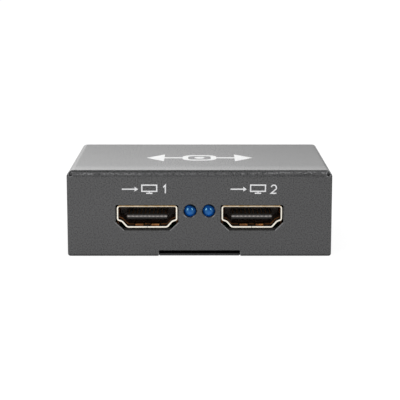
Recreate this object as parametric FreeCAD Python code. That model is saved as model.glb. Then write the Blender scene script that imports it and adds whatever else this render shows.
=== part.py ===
import FreeCAD, Part
import math
import os

Vec = FreeCAD.Vector

# The part's frame: +Z up, outputs face -Y, origin under the middle of the base.

# Case outside, and the sheet that it is folded from.
case_width = 64.0
case_depth = 45.0
case_height = 21.0
cover_sheet = 0.8
bend_radius = 1.6
cover_rim_lift = 0.03
flange_corner_radius = 0.7
flange_edge_break = 0.3
punched_edge_round = 0.12
corner_seam = 0.12
relief_radius = 0.45
relief_inset = 0.95
relief_drop = 0.9

# Notch in the front flange, and the base plate's tab that lies in it.
notch_top_width = 19.7
notch_rim_width = 19.9
notch_height = 1.37
notch_corner_radius = 0.35
tab_side_gap = 0.12
tab_setback = 0.45
tab_corner_radius = 0.2

# Base plate and what stands on it.
base_sheet = 0.5
base_gap = 0.4
base_corner_radius = 1.0
standoff_height_share = 0.6451
standoff_across_flats = 5.0
hexagon_sides = 6
full_turn = 360
standoff_spigot_radius = 1.8
standoff_inset_x = 4.8
standoff_inset_y = 5.8
fit_gap = 0.02

# Angle brackets inside the side walls, which take the case screws.
bracket_sheet = 1.0
bracket_width = 8.0
bracket_reach = 6.0
bracket_height = 4.5
bracket_bend = 0.5
bracket_standoff_gap = 0.8
bracket_hole_inset = 3.6

# Screws. A bore's clearance stands for its thread.
thread_clearance = 0.05
case_screw_radius = 1.0
case_screw_stub_share = 0.36
board_screw_radius = 1.05
board_screw_head_radius = 2.1
board_screw_head_height = 1.4
board_screw_head_round = 0.5
board_screw_grip_share = 0.7
board_screw_hole_clearance = 0.15
head_sink = 0.05
cross_slot_length = 1.9
cross_slot_width = 0.4
cross_slot_depth = 0.35

# Circuit board.
board_thickness = 1.6
board_setback = 0.6
board_side_gap = 1.7
board_corner_radius = 1.0
hole_clearance = 0.12
pin_stub = 0.8

# Video socket, one form for two outputs and one input.
output_pitch = 25.4
input_place_x = -12.7
shell_width = 14.8
shell_height = 5.6
shell_length = 12.0
shell_sheet = 0.4
shell_lift = 0.1
shell_gap = 0.1
shell_top_radius = 0.8
shell_side_height = 3.75
shell_side_radius = 0.7
shell_waist_half = 6.2
shell_waist_drop = 4.15
shell_waist_radius = 1.0
shell_foot_half = 4.95
shell_foot_radius = 1.0
shell_seam = 0.12
shell_lip_round = 0.1
window_clearance = 0.2
window_foot_clearance = 0.44
window_top_radius = 0.4
window_chamfer_x = 2.0
window_chamfer_z = 1.9

# Springs and legs of the shell.
finger_width = 1.3
finger_slot = 0.3
finger_tip = 1.5
finger_bow = 3.0
finger_root = 6.9
finger_dip = 0.5
finger_rise = 0.3
top_finger_place = 4.2
bottom_finger_place = 1.95
bottom_finger_width = 1.9
side_finger_width = 1.1
leg_width = 1.2
leg_root = 1.0
front_leg_place = 2.6
rear_leg_place = 9.6

# Insulator and contacts of the socket.
cavity_length = 8.0
insulator_gap = 0.04
heel_length = 1.2
heel_drop = 0.5
heel_edge = 0.4
tongue_width = 9.9
tongue_thickness = 1.2
tongue_height = 2.77
tongue_setback = 0.9
tongue_nose_chamfer = 0.15
contact_pitch = 1.0
upper_contact_count = 10
contact_width = 0.32
contact_thickness = 0.2
contact_setback = 0.45
contact_bend = 0.1
contact_side_gap = 0.04
tail_gap = 0.2
tail_foot = 0.9
peg_radius = 0.5
peg_spread = 5.8
peg_length = 1.2

# Power socket on the rear.
power_side_room = 11.0
power_width = 9.0
power_length = 14.4
power_height = 11.0
power_axis_height = 6.5
power_bore_radius = 3.15
power_bore_depth = 9.8
power_mouth_flare = 0.45
power_hole_clearance = 0.4
power_corner_round = 0.3
power_face_depth = 3.4
power_neck_step = 0.5
power_pin_radius = 1.0
power_pin_setback = 1.2
power_pin_round = 0.4
power_tab_width = 2.4
power_tab_thickness = 0.5
power_spring_width = 2.4
power_spring_sheet = 0.35
power_spring_drop = 0.9
power_spring_lift = 0.55
power_spring_tip = 2.2
power_spring_bow = 4.2
power_spring_root = 10.6
power_spring_bend = 0.3
power_slot_clearance = 0.2

# Lamps, two lenses between the outputs.
lamp_pitch = 4.5
lamp_height = 4.41
lamp_radius = 1.48
lamp_dome_radius = 2.0
lamp_hole_clearance = 0.14
lamp_hole_lift = 0.07
lamp_collar_radius = 1.9
lamp_collar_length = 1.0
lamp_collar_flat = 1.6
lamp_length = 5.3
lamp_setback = 0.1
lead_thickness = 0.5
lead_pitch = 2.54
lead_bend = 0.4
lead_run = 1.6
lead_reach_in_lens = 3.0
anvil_length = 1.1
anvil_overlap = 0.35

# Splitter chip, four rows of leads.
chip_side = 10.0
chip_height = 1.4
chip_lift = 0.1
chip_corner_chamfer = 0.3
chip_pitch = 0.5
chip_leads_per_side = 16
chip_lead_width = 0.22
chip_lead_thickness = 0.15
mark_radius = 0.5
mark_depth = 0.1
mark_inset = 1.4
body_chamfer = 0.1

# Memory chip, two rows of leads.
memory_length = 4.9
memory_width = 3.9
memory_height = 1.4
memory_pitch = 1.27
memory_leads_per_side = 4
memory_lead_width = 0.4
memory_lead_thickness = 0.2
memory_mark_radius = 0.35
memory_mark_inset = 0.8

# Voltage regulator, three leads and one broad tab.
regulator_length = 6.5
regulator_width = 3.5
regulator_height = 1.6
regulator_pitch = 2.3
regulator_lead_count = 3
regulator_lead_width = 0.7
regulator_tab_width = 3.0
regulator_lead_thickness = 0.25

# Bent leads of every chip.
lead_shoulder = 0.35
lead_foot_start = 0.5
lead_foot_end = 1.0

# Inductor, crystal and capacitor cans.
inductor_side = 6.6
inductor_height = 3.2
inductor_corner_chamfer = 1.1
inductor_well_radius = 2.5
inductor_well_depth = 0.5
inductor_core_gap = 0.25
crystal_length = 7.5
crystal_width = 3.7
crystal_height = 2.8
crystal_flange = 0.35
crystal_flange_height = 0.4
crystal_top_round = 0.5
crystal_foot_width = 1.2
crystal_foot_reach = 0.8
crystal_foot_thickness = 0.3
can_radius = 2.5
can_height = 4.6
can_top_round = 0.3
can_groove_height = 1.3
can_groove_depth = 0.25
can_groove_width = 0.5
can_base_side = 5.5
can_base_height = 0.8
can_base_chamfer = 1.2
side_can_gap = 0.25

# Small chips.
chip_body_length = 1.0
chip_body_width = 0.8
chip_end_length = 0.3
capacitor_body_height = 0.75
resistor_body_height = 0.45
surge_length = 2.0
surge_width = 1.25
surge_height = 0.8
surge_foot = 0.3
surge_gap = 0.2
small_chip_gap = 0.15
lamp_resistor_place = 1.2
lamp_resistor_gap = 1.4

# One overrun serves every cut.
overrun = 1.0

# Places on the board, as shares of its half width and half depth.
chip_place_share = (0.034, 0.05)
memory_place_share = (-0.75, 0.0)
regulator_place_share = (0.84, -0.25)
inductor_place_share = (0.84, 0.105)
crystal_place_share = (-0.43, 0.0)
can_place_shares = [(0.5, 0.0), (0.017, 0.70)]
side_can_place_share = 0.467

# Capacitors round the splitter chip, as shares of its reach with leads.
capacitor_ring_shares = [
    (-0.6, -1.15), (-0.25, -1.15), (0.1, -1.15), (0.45, -1.15), (-0.55, 1.15),
    (-0.15, 1.15), (0.25, 1.15), (1.17, -0.3), (1.17, 0.0), (1.17, 0.3),
]

# Resistors behind a socket, as shares of its half width.
resistor_row_shares = (-0.32, 0.0, 0.32)
resistor_pair_shares = (-0.6, -0.3)

# Surge protectors beside a socket, as shares of its length from the mouth.
surge_inner_share = 0.68
surge_outer_share = 0.92
power_surge_share = 0.14

# Heights and planes that follow from the sizes above.
half_width = case_width / 2
half_depth = case_depth / 2
inner_half_width = half_width - cover_sheet
inner_half_depth = half_depth - cover_sheet
base_half_width = inner_half_width - base_gap
base_half_depth = inner_half_depth - base_gap
free_height = case_height - cover_sheet - power_height - board_thickness - base_sheet
standoff_height = free_height * standoff_height_share
board_bottom = base_sheet + standoff_height
board_top = board_bottom + board_thickness
socket_face = inner_half_depth - shell_gap
board_half_width = inner_half_width - board_side_gap
board_half_depth = socket_face - board_setback
standoff_x = base_half_width - standoff_inset_x
standoff_y = base_half_depth - standoff_inset_y
bracket_hole_x = inner_half_width - bracket_hole_inset
bracket_place_y = standoff_y - standoff_across_flats / 2 - bracket_standoff_gap - bracket_width / 2
power_place_x = board_half_width - power_side_room - power_width / 2
case_screw_head_radius = case_screw_radius + base_sheet - head_sink
below_board = -board_thickness - pin_stub
lamp_face = lamp_setback - half_depth
shell_top = shell_lift + shell_height
heel_back = shell_length + insulator_gap + heel_length
tail_place = heel_back + tail_gap + contact_thickness / 2
tail_end = socket_face - tail_place - tail_foot
chip_reach = chip_side / 2 + lead_foot_end
output_places_x = (-output_pitch / 2, output_pitch / 2)
lamp_places_x = (-lamp_pitch / 2, lamp_pitch / 2)
front_wall = (-half_depth - overrun, -inner_half_depth + overrun)
rear_wall = (inner_half_depth - overrun, half_depth + overrun)


def spot(plane, u, v, level):
    """A point on the plane named by its two axes, at a level along the third."""
    if plane == "xz":
        return Vec(u, level, v)
    if plane == "yz":
        return Vec(level, u, v)
    return Vec(u, v, level)


def unit(du, dv):
    length = math.hypot(du, dv)
    return du / length, dv / length


def corner_points(before, here, after):
    """The start, middle and end of the round at a corner, or the sharp corner alone."""
    u, v = here[0], here[1]
    radius = here[2] if len(here) > 2 else 0
    if radius <= 0:
        return [(u, v)]
    au, av = unit(before[0] - u, before[1] - v)
    bu, bv = unit(after[0] - u, after[1] - v)
    half_angle = math.acos(au * bu + av * bv) / 2
    reach = radius / math.tan(half_angle)
    mu, mv = unit(au + bu, av + bv)
    near = radius / math.sin(half_angle) - radius
    return [(u + au * reach, v + av * reach), (u + mu * near, v + mv * near),
            (u + bu * reach, v + bv * reach)]


def outline_face(corners, plane, level):
    """A flat face from corners (u, v) or (u, v, radius)."""
    count = len(corners)
    stops = [corner_points(corners[i - 1], corners[i], corners[(i + 1) % count])
             for i in range(count)]
    edges = []
    for i in range(count):
        stop = [spot(plane, u, v, level) for u, v in stops[i]]
        u, v = stops[(i + 1) % count][0]
        following = spot(plane, u, v, level)
        if len(stop) == 3:
            edges.append(Part.Arc(stop[0], stop[1], stop[2]).toShape())
        if not stop[-1].isEqual(following, Part.Precision.confusion()):
            edges.append(Part.LineSegment(stop[-1], following).toShape())
    return Part.Face(Part.Wire(edges))


def prism(corners, plane, start, end):
    """An outline drawn out from start to end along the axis square to its plane."""
    return outline_face(corners, plane, start).extrude(spot(plane, 0, 0, end - start))


def block(x0, x1, y0, y1, z0, z1):
    return Part.makeBox(x1 - x0, y1 - y0, z1 - z0, Vec(x0, y0, z0))


def upright(x, y, z0, z1, radius):
    return Part.makeCylinder(radius, z1 - z0, Vec(x, y, z0))


def level_rod(x, z, y0, y1, radius):
    """A round bar along Y."""
    return Part.makeCylinder(radius, y1 - y0, Vec(x, y0, z), Vec(0, 1, 0))


def rectangle(half_u, half_v, radius=0):
    return [(-half_u, -half_v, radius), (half_u, -half_v, radius),
            (half_u, half_v, radius), (-half_u, half_v, radius)]


def chamfered_square(half_u, half_v, cut):
    return [(-half_u + cut, -half_v), (half_u - cut, -half_v), (half_u, -half_v + cut),
            (half_u, half_v - cut), (half_u - cut, half_v), (-half_u + cut, half_v),
            (-half_u, half_v - cut), (-half_u, -half_v + cut)]


def inset(corners, depth):
    """An outline listed anticlockwise, moved inwards by depth with its rounds kept in step."""
    count = len(corners)
    moved = []
    for i in range(count):
        before, here, after = corners[i - 1], corners[i], corners[(i + 1) % count]
        au, av = unit(here[0] - before[0], here[1] - before[1])
        bu, bv = unit(after[0] - here[0], after[1] - here[1])
        share = 1 + au * bu + av * bv
        u = here[0] - depth * (av + bv) / share
        v = here[1] + depth * (au + bu) / share
        turns_left = au * bv - av * bu > 0
        radius = here[2] - depth if turns_left else here[2] + depth
        moved.append((u, v, max(0, radius)))
    return moved


def ribbon(path, thickness, bend=0):
    """Corners of a strip of even thickness along an open path, with its inside bend radius."""
    half = thickness / 2
    left, right = [], []
    last = len(path) - 1
    for i, (u, v) in enumerate(path):
        behind = unit(u - path[i - 1][0], v - path[i - 1][1]) if i > 0 else None
        ahead = unit(path[i + 1][0] - u, path[i + 1][1] - v) if i < last else None
        a, b = behind or ahead, ahead or behind
        share = 1 + a[0] * b[0] + a[1] * b[1]
        side_u = -(a[1] + b[1]) / share * half
        side_v = (a[0] + b[0]) / share * half
        inner, outer = (bend, bend + thickness) if behind and ahead and bend > 0 else (0, 0)
        turns_left = a[0] * b[1] - a[1] * b[0] > 0
        left.append((u + side_u, v + side_v, inner if turns_left else outer))
        right.append((u - side_u, v - side_v, outer if turns_left else inner))
    return left + right[::-1]


def place(shape, x=0, y=0, z=0, turn=0):
    """A copy turned about the upright axis through the origin and then moved."""
    copy = shape.copy()
    copy.rotate(Vec(0, 0, 0), Vec(0, 0, 1), turn)
    copy.translate(Vec(x, y, z))
    return copy


def joined(first, *others):
    whole = first
    if others:
        whole = whole.fuse(list(others))
    return whole.removeSplitter()


def softened(shape, radius, chosen):
    """Rounds the edges that the test picks."""
    return shape.makeFillet(radius, [edge for edge in shape.Edges if chosen(edge)])


def edge_lies_at(edge, axis, level):
    """Whether an edge lies flat at a level along x, y or z."""
    box = edge.BoundBox
    low = getattr(box, axis + "Min")
    high = getattr(box, axis + "Max")
    near = Part.Precision.approximation()
    return high - low < near and abs(low - level) < near


def save(name, shapes):
    """Writes one node, whose solids stay separate."""
    solids = [solid for shape in shapes for solid in shape.Solids]
    for solid in solids:
        if not solid.isValid() or solid.Volume <= 0:
            raise ValueError("bad solid in " + name)
    Part.makeCompound(solids).exportStep(os.path.join("parts", name + ".step"))
    print(name, len(solids), round(sum(solid.Volume for solid in solids), 2))


def four_ways(x, y):
    return [(x, y), (-x, y), (-x, -y), (x, -y)]


def bent_case(half_x, half_y, bottom, top, bend, edge_round):
    """A block whose four top edges are bent round and whose upright edges are eased."""
    wide = [(-half_x, bottom), (half_x, bottom), (half_x, top, bend), (-half_x, top, bend)]
    deep = [(-half_y, bottom), (half_y, bottom), (half_y, top, bend), (-half_y, top, bend)]
    across = prism(wide, "xz", -half_y, half_y)
    along = prism(deep, "yz", -half_x, half_x)
    standing = prism(rectangle(half_x, half_y, edge_round), "xy", bottom, top)
    return across.common(along).common(standing)


def shell_outline():
    """A socket's shell seen from its mouth, above the board."""
    half = shell_width / 2
    right = [(shell_foot_half, shell_lift, shell_foot_radius),
             (shell_waist_half, shell_top - shell_waist_drop, shell_waist_radius),
             (half, shell_top - shell_side_height, shell_side_radius),
             (half, shell_top, shell_top_radius)]
    left = [(-u, v, radius) for u, v, radius in right[::-1]]
    return right + left


def window_outline():
    """The case's opening round a socket, above the board."""
    half = shell_width / 2 + window_clearance
    low = shell_lift - window_foot_clearance
    high = shell_top + window_clearance
    return [(-half, low + window_chamfer_z), (-half + window_chamfer_x, low),
            (half - window_chamfer_x, low), (half, low + window_chamfer_z),
            (half, high, window_top_radius), (-half, high, window_top_radius)]


def notch_outline():
    top, rim = notch_top_width / 2, notch_rim_width / 2
    ceiling = cover_rim_lift + notch_height
    slope = (rim - top) / notch_height
    floor = cover_rim_lift - overrun
    wide = rim + slope * overrun
    return [(-wide, floor), (wide, floor), (top, ceiling, notch_corner_radius),
            (-top, ceiling, notch_corner_radius)]


def corner_relief():
    """Seam, relief hole and rounded feet of the front right corner."""
    seam_end = -inner_half_depth + corner_seam
    hole_z = case_height - relief_drop
    start = -half_depth - overrun
    seam = block(inner_half_width - overrun, half_width + overrun,
                 -inner_half_depth, seam_end, cover_rim_lift - overrun, hole_z)
    hole = level_rod(half_width - relief_inset, hole_z, start, seam_end, relief_radius)
    foot_x = half_width - flange_corner_radius
    foot_z = cover_rim_lift + flange_corner_radius
    foot = block(foot_x, half_width + overrun, start, seam_end, cover_rim_lift - overrun, foot_z)
    foot = foot.cut(level_rod(foot_x, foot_z, start, seam_end, flange_corner_radius))
    inside, outside = inner_half_width - overrun, half_width + overrun
    side_foot_y = seam_end + flange_corner_radius
    side_foot = block(inside, outside, -inner_half_depth, side_foot_y, cover_rim_lift - overrun, foot_z)
    side_foot = side_foot.cut(Part.makeCylinder(flange_corner_radius, outside - inside,
                                                Vec(inside, side_foot_y, foot_z), Vec(1, 0, 0)))
    return seam.fuse([hole, foot, side_foot])


def is_punched_edge(edge):
    """Whether an edge is the outer rim of a window or hole in the front or rear flange."""
    box = edge.BoundBox
    above_notch = box.ZMin > cover_rim_lift + notch_height + notch_corner_radius
    below_bend = box.ZMax < case_height - bend_radius
    between_sides = max(-box.XMin, box.XMax) < half_width - bend_radius
    on_face = edge_lies_at(edge, "Y", -half_depth) or edge_lies_at(edge, "Y", half_depth)
    return above_notch and below_bend and between_sides and on_face


def cover():
    outer = bent_case(half_width, half_depth, cover_rim_lift, case_height,
                      bend_radius, flange_edge_break)
    inner = bent_case(inner_half_width, inner_half_depth, cover_rim_lift - overrun,
                      case_height - cover_sheet, bend_radius - cover_sheet, 0)
    relief = corner_relief()
    mirrored = relief.mirror(Vec(0, 0, 0), Vec(1, 0, 0))
    cuts = [inner]
    for turn in (0, 180):
        cuts.extend([place(relief, turn=turn), place(mirrored, turn=turn)])
    window = window_outline()
    for x in output_places_x:
        cuts.append(place(prism(window, "xz", *front_wall), x=x, z=board_top))
    cuts.append(place(prism(window, "xz", *rear_wall), x=input_place_x, z=board_top))
    for x in lamp_places_x:
        cuts.append(level_rod(x, board_top + lamp_height + lamp_hole_lift, *front_wall,
                              lamp_radius + lamp_hole_clearance))
    cuts.append(level_rod(power_place_x, board_top + power_axis_height, *rear_wall,
                          power_bore_radius + power_mouth_flare + power_hole_clearance))
    cuts.append(prism(notch_outline(), "xz", *front_wall))
    return softened(outer.cut(cuts), punched_edge_round, is_punched_edge)


def base_plate():
    """Flat sheet whose front tab fills the lower half of the cover's notch."""
    plate = prism(rectangle(base_half_width, base_half_depth, base_corner_radius), "xy", 0, base_sheet)
    half = notch_top_width / 2 - tab_side_gap
    face = tab_setback - half_depth
    tab = prism([(-half, face, tab_corner_radius), (half, face, tab_corner_radius),
                 (half, 0), (-half, 0)], "xy", 0, base_sheet)
    plate = joined(plate, tab)
    cuts = []
    wide = case_screw_head_radius + head_sink + thread_clearance
    narrow = wide - base_sheet
    for x, y in four_ways(bracket_hole_x, bracket_place_y):
        cuts.append(Part.makeCone(wide, narrow, base_sheet, Vec(x, y, 0)))
    for x, y in four_ways(standoff_x, standoff_y):
        cuts.append(upright(x, y, -overrun, base_sheet + overrun, standoff_spigot_radius + fit_gap))
    return plate.cut(cuts)


def cover_brackets():
    wall_x = inner_half_width - bracket_sheet / 2
    floor_z = base_sheet + bracket_sheet / 2
    path = [(wall_x, base_sheet + bracket_height), (wall_x, floor_z),
            (inner_half_width - bracket_reach, floor_z)]
    strip = ribbon(path, bracket_sheet, bracket_bend)
    angle = prism(strip, "xz", bracket_place_y - bracket_width / 2, bracket_place_y + bracket_width / 2)
    bore = upright(bracket_hole_x, bracket_place_y, base_sheet - overrun,
                   base_sheet + bracket_sheet + overrun, case_screw_radius + thread_clearance)
    right = angle.cut(bore)
    left = right.mirror(Vec(0, 0, 0), Vec(1, 0, 0))
    return [place(side, turn=turn) for side in (right, left) for turn in (0, 180)]


def cross_slot(z0, z1):
    half_long, half_wide = cross_slot_length / 2, cross_slot_width / 2
    return joined(block(-half_long, half_long, -half_wide, half_wide, z0, z1),
                  block(-half_wide, half_wide, -half_long, half_long, z0, z1))


def case_screws():
    head_top = base_sheet
    bracket_top = base_sheet + bracket_sheet
    shank_top = bracket_top + (board_bottom - bracket_top) * case_screw_stub_share
    head = Part.makeCone(case_screw_head_radius, case_screw_radius, head_top - head_sink,
                         Vec(0, 0, head_sink))
    shank = upright(0, 0, head_top, shank_top, case_screw_radius)
    screw = joined(head, shank).cut(cross_slot(head_sink - overrun, head_sink + cross_slot_depth))
    return [place(screw, x, y) for x, y in four_ways(bracket_hole_x, bracket_place_y)]


def board_standoffs():
    radius = standoff_across_flats / 2 / math.cos(math.pi / hexagon_sides)
    corners = []
    for i in range(hexagon_sides):
        angle = 2 * math.pi * i / hexagon_sides
        corners.append((radius * math.cos(angle), radius * math.sin(angle)))
    post = prism(corners, "xy", base_sheet, board_bottom)
    spigot = upright(0, 0, head_sink, base_sheet, standoff_spigot_radius)
    bore = upright(0, 0, -overrun, board_bottom + overrun, board_screw_radius + thread_clearance)
    standoff = joined(post, spigot).cut(bore)
    return [place(standoff, x, y) for x, y in four_ways(standoff_x, standoff_y)]


def board_screws():
    head_top = board_top + board_screw_head_height
    head = upright(0, 0, board_top, head_top, board_screw_head_radius)
    head = softened(head, board_screw_head_round, lambda edge: edge_lies_at(edge, "Z", head_top))
    tip = board_bottom - standoff_height * board_screw_grip_share
    shank = upright(0, 0, tip, board_top, board_screw_radius)
    screw = joined(head, shank).cut(cross_slot(head_top - cross_slot_depth * 2, head_top + overrun))
    return [place(screw, x, y) for x, y in four_ways(standoff_x, standoff_y)]


def leg_boxes(spare):
    """The legs of a socket's shell, or with a spare width the holes that take them."""
    half = shell_width / 2
    top = shell_top - shell_side_height + leg_root
    boxes = []
    for y in (front_leg_place, rear_leg_place):
        for x0, x1 in ((half - shell_sheet, half), (-half, -half + shell_sheet)):
            boxes.append(block(x0 - spare, x1 + spare, y - leg_width / 2 - spare,
                               y + leg_width / 2 + spare, below_board - spare, top))
    return boxes


def socket_shell():
    """Folded shell with six springs and four legs; its mouth is at y = 0."""
    outline = shell_outline()
    half = shell_width / 2
    wall = 2 * shell_sheet
    tube = prism(outline, "xz", 0, shell_length)
    tube = softened(tube, shell_lip_round, lambda edge: edge_lies_at(edge, "Y", 0))
    cuts = [prism(inset(outline, shell_sheet), "xz", -overrun, shell_length + overrun)]
    cuts.append(block(-shell_seam / 2, shell_seam / 2, -overrun, shell_length + overrun,
                      shell_lift - overrun, shell_lift + wall))
    slot_start, slot_end = finger_tip - finger_slot, finger_root
    reach = finger_width / 2 + finger_slot
    bottom_reach = bottom_finger_width / 2 + finger_slot
    top_middle = shell_top - shell_sheet / 2
    bottom_middle = shell_lift + shell_sheet / 2
    run = [finger_root + wall, finger_root, finger_bow, finger_tip]
    dips = [0, 0, finger_dip, finger_dip - finger_rise]
    top_strip = ribbon([(y, top_middle - dip) for y, dip in zip(run, dips)], shell_sheet)
    bottom_strip = ribbon([(y, bottom_middle + dip) for y, dip in zip(run, dips)], shell_sheet)
    fingers = []
    for x in (-top_finger_place, top_finger_place):
        cuts.append(block(x - reach, x + reach, slot_start, slot_end,
                          shell_top - wall, shell_top + overrun))
        fingers.append(prism(top_strip, "yz", x - finger_width / 2, x + finger_width / 2))
    for x in (-bottom_finger_place, bottom_finger_place):
        cuts.append(block(x - bottom_reach, x + bottom_reach, slot_start, slot_end,
                          shell_lift - overrun, shell_lift + wall))
        fingers.append(prism(bottom_strip, "yz", x - bottom_finger_width / 2, x + bottom_finger_width / 2))
    side_z = shell_top - shell_top_radius - side_finger_width / 2 - finger_slot
    side_reach = side_finger_width / 2 + finger_slot
    for side in (-1, 1):
        inner, outer = side * (half - wall), side * (half + overrun)
        cuts.append(block(min(inner, outer), max(inner, outer), slot_start, slot_end,
                          side_z - side_reach, side_z + side_reach))
        strip = ribbon([(side * (half - shell_sheet / 2 - dip), y) for y, dip in zip(run, dips)],
                       shell_sheet)
        fingers.append(prism(strip, "xy", side_z - side_finger_width / 2, side_z + side_finger_width / 2))
    return joined(tube.cut(cuts), *fingers, *leg_boxes(0))


def contact_rows():
    """Each contact's place across, its blade's middle height and whether it is an upper one."""
    rows = []
    blade = (tongue_thickness - contact_thickness) / 2
    for count, height in ((upper_contact_count, tongue_height + blade),
                          (upper_contact_count - 1, tongue_height - blade)):
        first = -(count - 1) / 2 * contact_pitch
        rows.extend((first + i * contact_pitch, height) for i in range(count))
    return rows


def socket_insulator():
    """Block with the tongue in front, a heel on the board and two pegs."""
    back = shell_length + insulator_gap
    body = prism(inset(shell_outline(), shell_sheet + insulator_gap), "xz", cavity_length, back)
    heel_half = peg_spread + peg_radius + heel_edge
    heel_top = shell_top - shell_sheet - heel_drop
    heel = block(-heel_half, heel_half, back, back + heel_length, 0, heel_top)
    tongue = block(-tongue_width / 2, tongue_width / 2, tongue_setback, cavity_length,
                   tongue_height - tongue_thickness / 2, tongue_height + tongue_thickness / 2)
    nose = [edge for edge in tongue.Edges if edge_lies_at(edge, "Y", tongue_setback)]
    tongue = tongue.makeChamfer(tongue_nose_chamfer, nose)
    pegs = [upright(x, back + heel_length / 2, -peg_length, heel_drop, peg_radius)
            for x in (-peg_spread, peg_spread)]
    whole = joined(body, heel, tongue, *pegs)
    half = contact_width / 2 + contact_side_gap
    grooves = []
    for x, height in contact_rows():
        grooves.append(block(x - half, x + half, tongue_setback + contact_setback,
                             back + heel_length + overrun,
                             height - contact_thickness / 2, height + contact_thickness / 2))
    return whole.cut(grooves)


def socket_contacts():
    """One row of feet behind the heel serves both rows of blades."""
    foot_z = contact_thickness / 2
    shapes = []
    for x, height in contact_rows():
        path = [(tongue_setback + contact_setback, height), (tail_place, height),
                (tail_place, foot_z), (tail_place + tail_foot, foot_z)]
        shapes.append(prism(ribbon(path, contact_thickness, contact_bend), "yz",
                            x - contact_width / 2, x + contact_width / 2))
    return shapes


def socket_holes():
    """What a socket needs out of the board."""
    back = shell_length + insulator_gap + heel_length / 2
    holes = leg_boxes(hole_clearance)
    for x in (-peg_spread, peg_spread):
        holes.append(upright(x, back, below_board, overrun, peg_radius + hole_clearance))
    return holes


def power_housing():
    """Moulded block round the power plug's bore; its mouth is at y = 0."""
    half = power_width / 2
    face = prism(rectangle(half, power_face_depth / 2), "xy", 0, power_height)
    face.translate(Vec(0, power_face_depth / 2, 0))
    neck_half = half - power_neck_step
    neck = block(-neck_half, neck_half, power_face_depth, power_length, 0, power_height - power_neck_step)
    body = joined(face, neck)
    body = softened(body, power_corner_round,
                    lambda edge: edge_lies_at(edge, "Y", 0) and edge.BoundBox.ZMax > power_corner_round)
    axis = power_axis_height
    flare = Part.makeCone(power_bore_radius + power_mouth_flare, power_bore_radius, power_mouth_flare,
                          Vec(0, 0, axis), Vec(0, 1, 0))
    slot_half = power_spring_width / 2 + power_slot_clearance
    slot = block(-slot_half, slot_half, power_spring_tip - power_slot_clearance,
                 power_spring_root + power_spring_sheet / 2 + power_slot_clearance, -overrun, axis)
    cuts = [level_rod(0, axis, -overrun, power_bore_depth, power_bore_radius), flare, slot,
            level_rod(0, axis, 0, power_length + overrun, power_pin_radius + fit_gap)]
    return body.cut(cuts)


def power_pin():
    pin = level_rod(0, power_axis_height, power_pin_setback, power_length, power_pin_radius)
    pin = softened(pin, power_pin_round, lambda edge: edge_lies_at(edge, "Y", power_pin_setback))
    return joined(pin, power_tab(0))


def power_tab(spare):
    half = power_tab_width / 2 + spare
    return block(-half, half, power_length - spare, power_length + power_tab_thickness + spare,
                 below_board - spare, power_axis_height + power_pin_radius)


def power_spring():
    bore_low = power_axis_height - power_bore_radius
    path = [(power_spring_root, below_board), (power_spring_root, bore_low - power_spring_drop),
            (power_spring_bow, bore_low + power_spring_lift),
            (power_spring_tip + power_spring_sheet, bore_low - power_spring_sheet)]
    half = power_spring_width / 2
    return prism(ribbon(path, power_spring_sheet, power_spring_bend), "yz", -half, half)


def power_holes():
    half = power_spring_width / 2 + hole_clearance
    reach = power_spring_sheet / 2 + hole_clearance
    slot = block(-half, half, power_spring_root - reach, power_spring_root + reach, below_board, overrun)
    return [power_tab(hole_clearance), slot]


def lamp_leads():
    """Two bent leads, one with an anvil on the lens's axis; the lens's tip is at y = 0."""
    inner_end = lamp_length - lead_reach_in_lens
    fold = lamp_length + lead_run
    path = [(inner_end, lamp_height), (fold, lamp_height), (fold, below_board)]
    strip = ribbon(path, lead_thickness, lead_bend)
    half = lead_thickness / 2
    leads = []
    for x in (-lead_pitch / 2, lead_pitch / 2):
        leads.append(prism(strip, "yz", x - half, x + half))
    anvil = block(-lead_pitch / 2, anvil_overlap, inner_end, inner_end + anvil_length,
                  lamp_height - half, lamp_height + half)
    return [joined(leads[0], anvil), leads[1]]


def lamp_lens():
    """Domed lens with a collar that is flat on one side."""
    edge = math.asin(lamp_radius / lamp_dome_radius)
    tip, middle, shoulder = [
        Vec(lamp_dome_radius * math.sin(angle), lamp_dome_radius * (1 - math.cos(angle)), lamp_height)
        for angle in (0, edge / 2, edge)]
    back = [shoulder, Vec(lamp_radius, lamp_length, lamp_height), Vec(0, lamp_length, lamp_height), tip]
    outline = [Part.Arc(tip, middle, shoulder).toShape()]
    outline.extend(Part.makeLine(start, end) for start, end in zip(back, back[1:]))
    body = Part.Face(Part.Wire(outline)).revolve(tip, Vec(0, 1, 0), full_turn)
    collar_start = lamp_length - lamp_collar_length
    collar = level_rod(0, lamp_height, collar_start, lamp_length, lamp_collar_radius)
    side = block(-lamp_collar_radius - overrun, -lamp_collar_flat, collar_start - overrun,
                 lamp_length + overrun, lamp_height - lamp_collar_radius, lamp_height + lamp_collar_radius)
    return joined(body, collar.cut(side)).cut(lamp_leads())


def lamp_holes():
    radius = lead_thickness / math.sqrt(2) + hole_clearance
    fold = lamp_length + lead_run
    return [upright(x, fold, below_board, overrun, radius) for x in (-lead_pitch / 2, lead_pitch / 2)]


def gull_leads(reach, middle, count, pitch, width, thickness):
    """A row of bent leads that leave a body's side at y = reach and stand on the board."""
    path = [(reach, middle), (reach + lead_shoulder, middle),
            (reach + lead_foot_start, thickness / 2), (reach + lead_foot_end, thickness / 2)]
    strip = ribbon(path, thickness)
    first = -(count - 1) / 2 * pitch
    leads = []
    for i in range(count):
        x = first + i * pitch
        leads.append(prism(strip, "yz", x - width / 2, x + width / 2))
    return leads


def moulded_body(half_x, half_y, height, chamfer, mark_at, mark_size):
    """A chip's body with a round mark sunk into its top."""
    top = chip_lift + height
    body = prism(chamfered_square(half_x, half_y, chamfer), "xy", chip_lift, top)
    mark = upright(mark_at - half_x, mark_at - half_y, top - mark_depth, top + overrun, mark_size)
    return body.cut(mark)


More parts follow.
